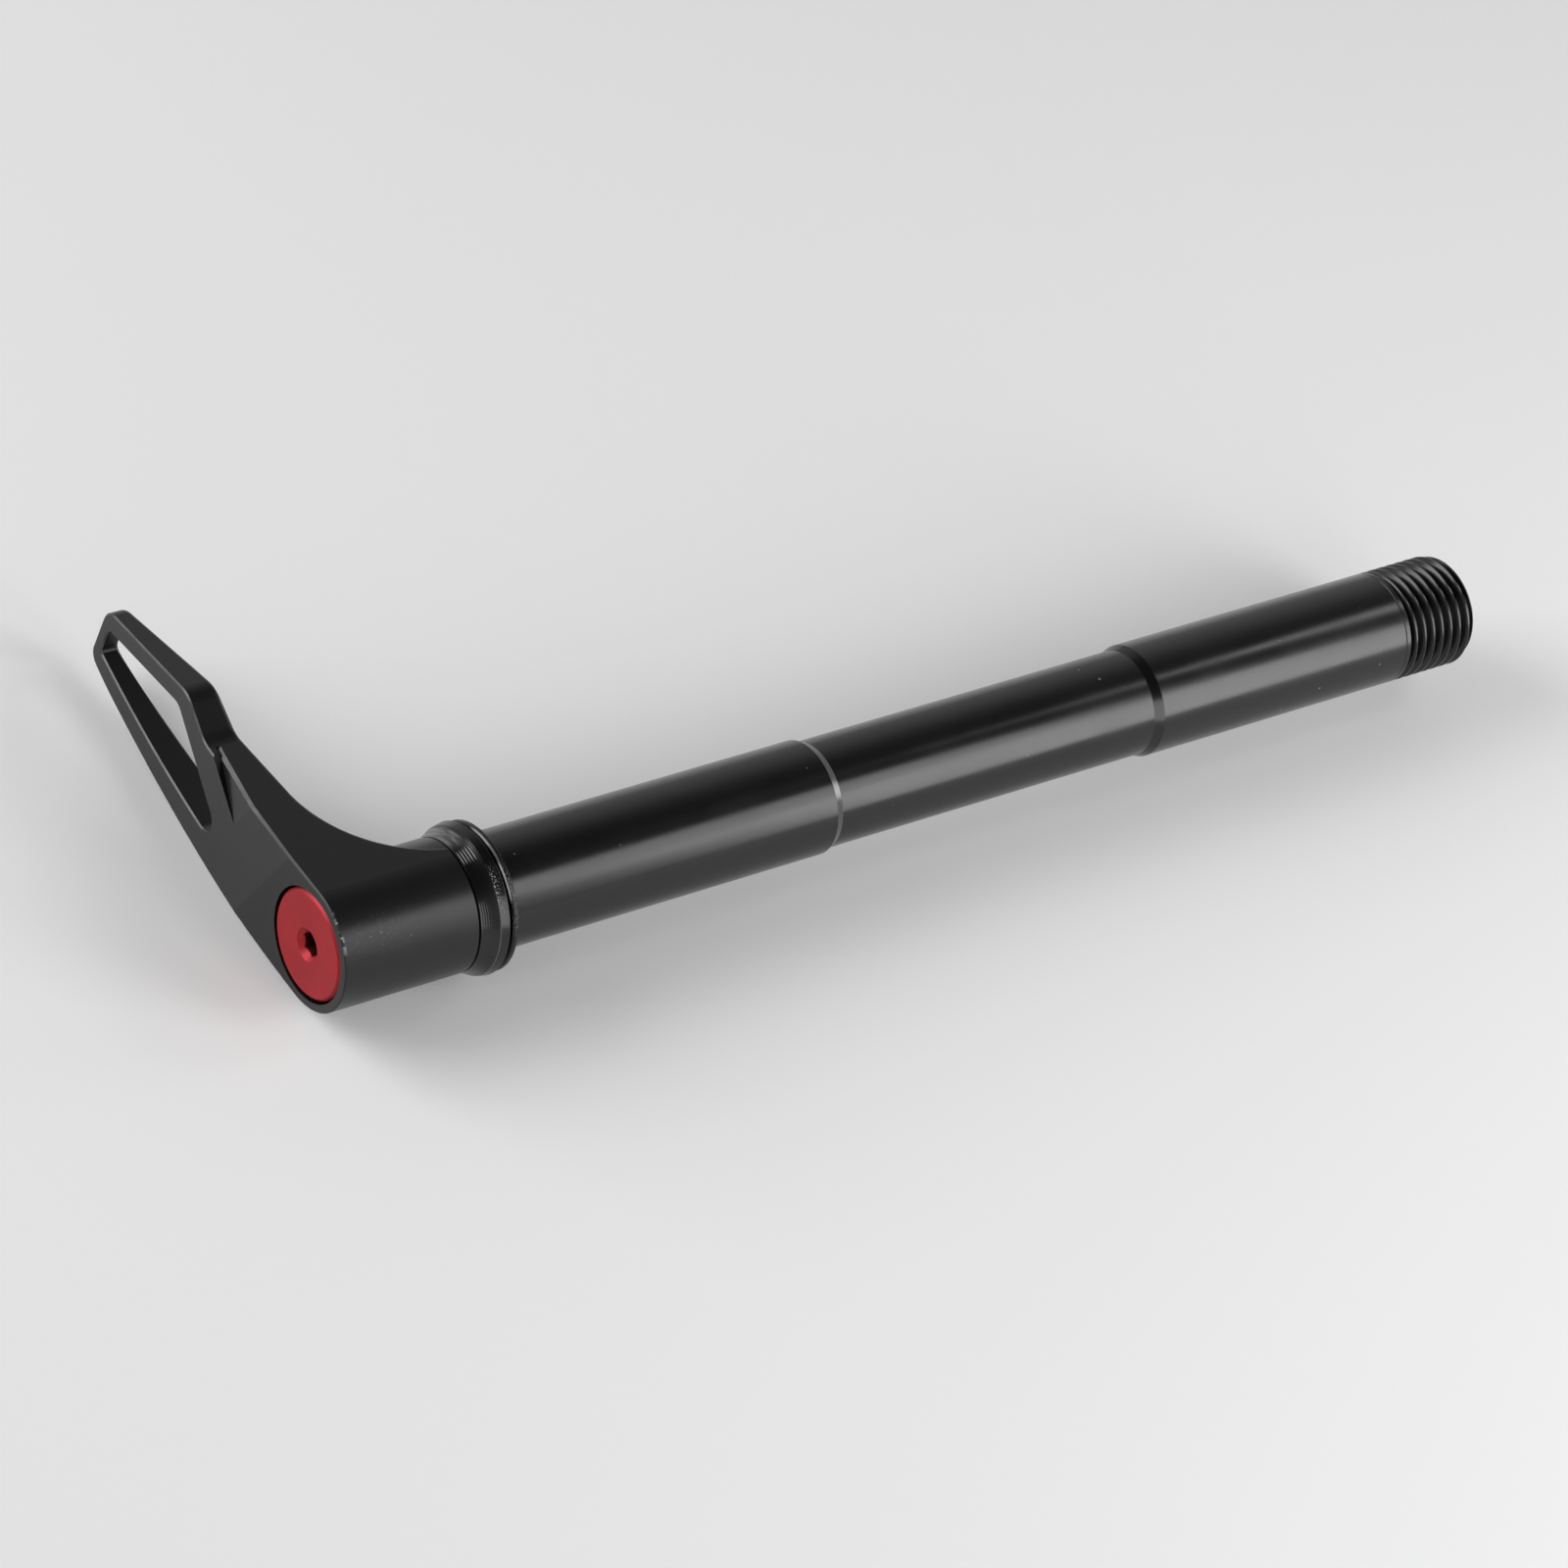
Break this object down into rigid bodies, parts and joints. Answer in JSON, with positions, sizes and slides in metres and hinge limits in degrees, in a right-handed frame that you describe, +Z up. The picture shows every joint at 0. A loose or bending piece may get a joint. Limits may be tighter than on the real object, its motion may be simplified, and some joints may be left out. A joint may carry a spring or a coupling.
{
  "type": "bicycle thru axle",
  "caption": "Hollow bicycle fork thru axle with a threaded tip, a stepped shaft, a captive washer under a flared head and a windowed lever that lifts off a spline to be set at another angle.",
  "frame": {"origin": "on the axle's line, where the washer's outer face and the land nearest the lever meet", "axes": "+X along the axle from the lever to the threaded tip, +Y along the lever's arm, +Z up as the part lies"},
  "size_m": [0.1801, 0.0649, 0.0196],
  "materials": {
    "axle_black": "black anodised, satin, fine turning lines",
    "washer_black": "black anodised, satin",
    "lever_black": "black anodised, satin, bright broken edges",
    "cap_red": "red anodised, satin",
    "spring_steel": "drawn wire",
    "washer_steel": "ground"
  },
  "bodies": {
    "axle": {"axle_shaft": "axle_black", "cap_bolt": "cap_red", "lever_spring": "spring_steel"},
    "slip": {"spring_washer": "washer_steel"},
    "lever": {"lever": "lever_black"},
    "washer": {"thrust_washer": "washer_black"}
  },
  "joints": [
    {"name": "lever_lift", "type": "slide", "parent": "axle", "child": "slip", "axis": [-1, 0, 0], "range_m": [0, 0.0045], "stiffness_N_per_m": 900, "springref_m": -0.003, "deforming": ["lever_spring"]},
    {"name": "lever_index", "type": "hinge", "parent": "slip", "child": "lever", "pos_m": [-0.015, 0, 0], "axis": [1, 0, 0], "continuous": true},
    {"name": "washer_spin", "type": "hinge", "parent": "axle", "child": "washer", "pos_m": [0, 0, 0], "axis": [1, 0, 0], "continuous": true}
  ]
}
